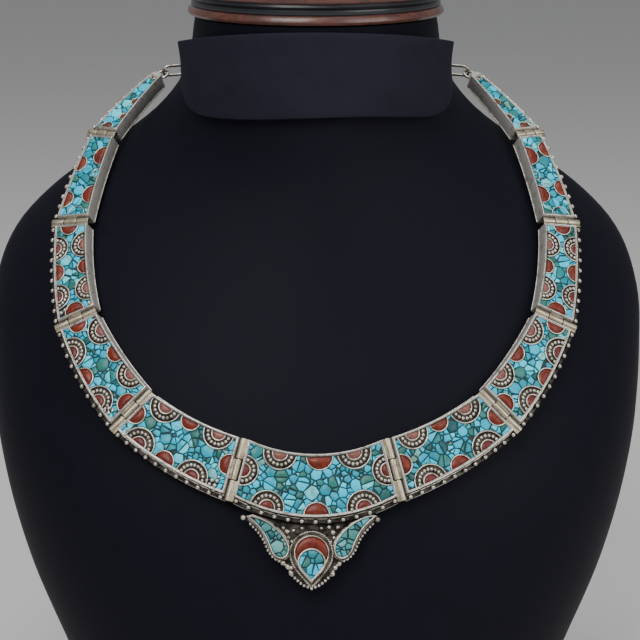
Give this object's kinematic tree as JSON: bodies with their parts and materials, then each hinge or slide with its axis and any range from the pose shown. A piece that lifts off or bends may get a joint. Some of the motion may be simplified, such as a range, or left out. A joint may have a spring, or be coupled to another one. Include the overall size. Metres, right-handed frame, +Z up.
{
  "type": "bib necklace on neck bust",
  "caption": "Antique silver bib necklace of hinged box plaques inlaid with turquoise chips and red coral, with a fixed pendant, on a dark padded neck bust with a wooden cap.",
  "frame": {"origin": "on the surface that the bust stands on, under the middle of the whole", "axes": "+Z up, -Y toward the front of the necklace, +X to the right of someone who looks at the front"},
  "size_m": [0.2442, 0.1618, 0.2835],
  "materials": {
    "silver": "antique silver, bright on raised wires, dark in the recesses",
    "turquoise": "polished turquoise chips in dark cement",
    "coral": "glossy red coral",
    "leatherette": "soft sheen, near-black navy",
    "wood": "turned and varnished, reddish brown"
  },
  "bodies": {
    "root": {"bust_body": "leatherette", "neck_flap": "leatherette", "neck_cap": "wood", "case_centre": "silver", "inlay_centre": "turquoise", "case_r1": "silver", "inlay_r1": "turquoise", "case_r2": "silver", "inlay_r2": "turquoise", "case_r3": "silver", "inlay_r3": "turquoise", "case_r4": "silver", "inlay_r4": "turquoise", "case_r5": "silver", "inlay_r5": "turquoise", "case_l1": "silver", "inlay_l1": "turquoise", "case_l2": "silver", "inlay_l2": "turquoise", "case_l3": "silver", "inlay_l3": "turquoise", "case_l4": "silver", "inlay_l4": "turquoise", "case_l5": "silver", "inlay_l5": "turquoise", "coral_centre_inner": "coral", "coral_centre_outer": "coral", "coral_r1_inner": "coral", "coral_r1_outer": "coral", "coral_r1_near": "coral", "coral_r1_far": "coral", "coral_r2_inner": "coral", "coral_r2_outer": "coral", "coral_r2_near": "coral", "coral_r2_far": "coral", "coral_r3_inner": "coral", "coral_r3_outer": "coral", "coral_r3_near": "coral", "coral_r3_far": "coral", "coral_l1_inner": "coral", "coral_l1_outer": "coral", "coral_l1_near": "coral", "coral_l1_far": "coral", "coral_l2_inner": "coral", "coral_l2_outer": "coral", "coral_l2_near": "coral", "coral_l2_far": "coral", "coral_l3_inner": "coral", "coral_l3_outer": "coral", "coral_l3_near": "coral", "coral_l3_far": "coral", "pendant_setting": "silver", "pendant_coral": "coral", "pendant_drop": "turquoise", "pendant_wing_r": "turquoise", "pendant_wing_l": "turquoise", "chain_r": "silver", "chain_l": "silver", "hook_clasp": "silver"}
  },
  "joints": []
}
